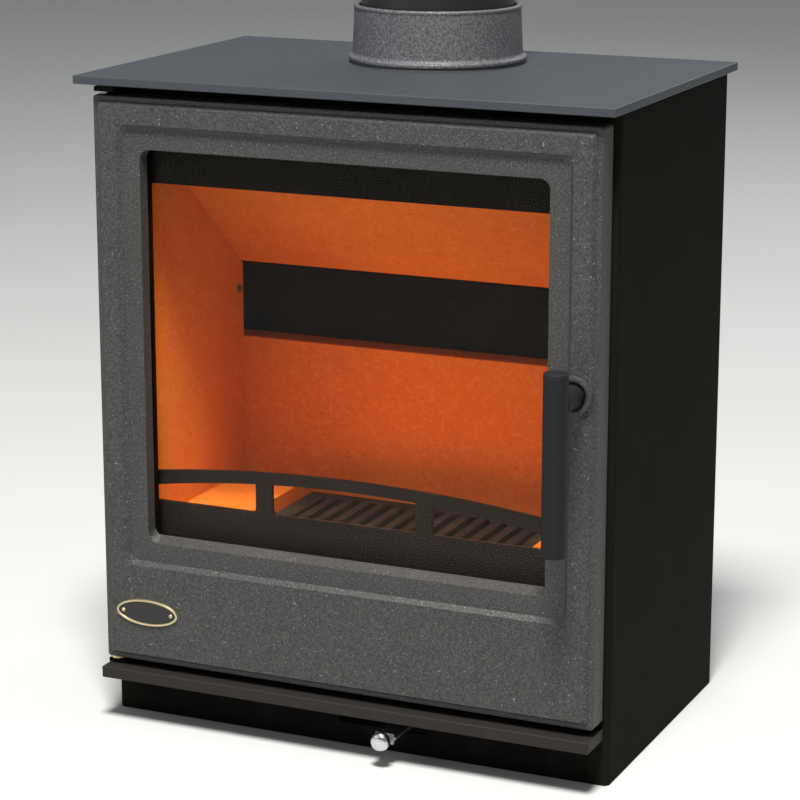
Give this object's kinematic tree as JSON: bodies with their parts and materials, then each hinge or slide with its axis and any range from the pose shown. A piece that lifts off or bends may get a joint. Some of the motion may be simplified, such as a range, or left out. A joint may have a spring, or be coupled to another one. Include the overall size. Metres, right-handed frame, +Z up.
{
  "type": "wood burning stove",
  "caption": "Rectangular steel wood burning stove with a cast framed glass door, turning bar handle, sliding air control and a top flue pipe.",
  "frame": {"origin": "middle of the whole stove's footprint, on the floor", "axes": "+X to the right seen from the front, +Y from the door to the back, +Z up"},
  "size_m": [0.462, 0.3427, 0.6662],
  "materials": {
    "body_paint": "satin black stove paint",
    "inner_steel": "matte black stove paint",
    "top_paint": "smooth satin charcoal stove paint",
    "cast_paint": "charcoal paint with a fine metallic fleck over cast iron",
    "cast_grate": "bare cast iron, darkened by heat",
    "flue_enamel": "smooth satin black enamel",
    "seal_rope": "braided glass fibre rope, graphite grey",
    "brick_board": "matte pressed vermiculite",
    "plain_steel": "plain zinc-plated steel",
    "bright_steel": "polished stainless steel",
    "brass": "satin brass",
    "stove_glass": "clear ceramic stove glass with a faint amber tint"
  },
  "bodies": {
    "stove": {"left_side_panel": "body_paint", "right_side_panel": "body_paint", "front_frame": "inner_steel", "base_plate": "inner_steel", "hearth_plate": "inner_steel", "firebox_top": "inner_steel", "rear_wall": "body_paint", "rear_shield": "body_paint", "shield_screws": "plain_steel", "blanking_plate": "body_paint", "blanking_bolts": "plain_steel", "top_plate": "top_paint", "top_plate_bolts": "plain_steel", "flue_collar": "cast_paint", "collar_gasket": "seal_rope", "collar_clamps": "plain_steel", "collar_bolts": "plain_steel", "flue_pipe": "flue_enamel", "pipe_rope": "seal_rope", "ash_lip": "cast_paint", "plinth_front": "inner_steel", "air_box": "inner_steel", "air_port_plate": "plain_steel", "slider_guides": "plain_steel", "left_air_riser": "inner_steel", "right_air_riser": "inner_steel", "airwash_duct": "inner_steel", "air_chamber": "inner_steel", "left_brick": "brick_board", "right_brick": "brick_board", "rear_brick": "brick_board", "left_hearth_brick": "brick_board", "right_hearth_brick": "brick_board", "baffle": "brick_board", "brick_screws": "plain_steel", "grate": "cast_grate", "ash_pan": "inner_steel", "log_guard": "inner_steel", "hinge_bracket_top": "inner_steel", "hinge_bracket_bottom": "inner_steel", "hinge_pins": "bright_steel", "hinge_washer": "brass", "latch_keeper": "plain_steel"},
    "door": {"door_frame": "cast_paint", "door_glass": "stove_glass", "glass_gasket": "seal_rope", "glass_retainers": "plain_steel", "retainer_screws": "bright_steel", "door_rope": "seal_rope", "badge": "brass", "badge_pins": "brass"},
    "handle": {"door_handle": "cast_paint", "handle_spindle": "cast_paint", "latch_cam": "plain_steel", "spindle_washer": "bright_steel", "spindle_nut": "bright_steel"},
    "air_control": {"air_slider": "plain_steel", "air_knob": "bright_steel"}
  },
  "joints": [
    {"name": "door_hinge", "type": "hinge", "parent": "stove", "child": "door", "pos_m": [-0.2125, -0.10965, 0.2935], "axis": [0, 0, -1], "range_deg": [0, 115]},
    {"name": "handle_turn", "type": "hinge", "parent": "door", "child": "handle", "pos_m": [0.1993, -0.11365, 0.326], "axis": [0, -1, 0], "range_deg": [0, 90]},
    {"name": "air_slide", "type": "slide", "parent": "stove", "child": "air_control", "axis": [1, 0, 0], "range_m": [-0.045, 0.015]}
  ]
}
